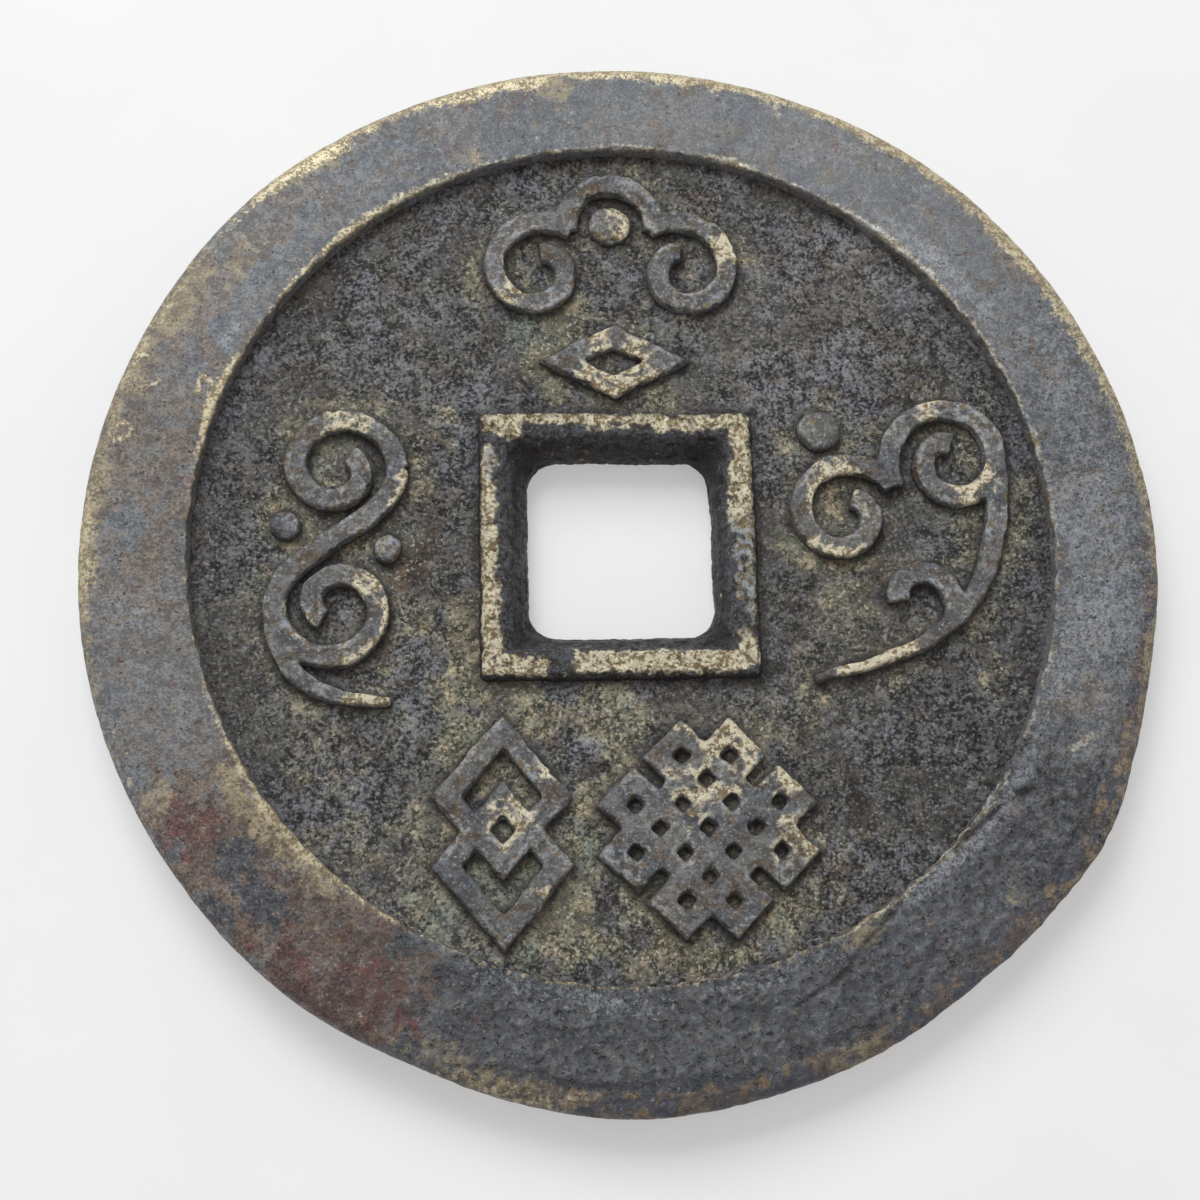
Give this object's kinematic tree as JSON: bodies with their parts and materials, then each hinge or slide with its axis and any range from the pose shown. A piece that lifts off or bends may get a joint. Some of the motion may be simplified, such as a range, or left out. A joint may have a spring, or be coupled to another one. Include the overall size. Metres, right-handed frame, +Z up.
{
  "type": "large cast cash coin",
  "caption": "Large round cast brass coin with a raised rim, a square string hole with a raised border, and cloud, lozenge and knot ornaments in low relief.",
  "frame": {"origin": "centre of the back face, on the plane that the coin lies on", "axes": "+Z up out of the front face, +Y towards the top of the front design, +X to its right"},
  "size_m": [0.0562, 0.0564, 0.0034],
  "materials": {
    "rim_patina": "filed cast brass under a smooth slate grey patina, ochre and red-brown in places, bare brass on the worn edges",
    "field_patina": "sand-cast skin, dark grey to near black, with earth and traces of verdigris in the low places",
    "border_brass": "worn border, pale brass on top with dark pits, dark patina in the hole",
    "relief_patina": "raised strokes, slate grey on their flat tops, brass where the edges are worn, earth at the foot"
  },
  "bodies": {
    "root": {"outer_rim": "rim_patina", "field_plate": "field_patina", "hole_rim": "border_brass", "top_cloud": "relief_patina", "top_pearl": "relief_patina", "top_lozenge": "relief_patina", "left_cloud": "relief_patina", "left_upper_bud": "relief_patina", "left_lower_bud": "relief_patina", "right_cloud": "relief_patina", "right_pearl": "relief_patina", "lower_left_lozenges": "relief_patina", "lower_right_knot": "relief_patina", "back_top_cloud": "relief_patina", "back_top_pearl": "relief_patina", "back_bottom_cloud": "relief_patina", "back_bottom_pearl": "relief_patina", "back_left_lozenges": "relief_patina", "back_right_lozenges": "relief_patina"}
  },
  "joints": []
}
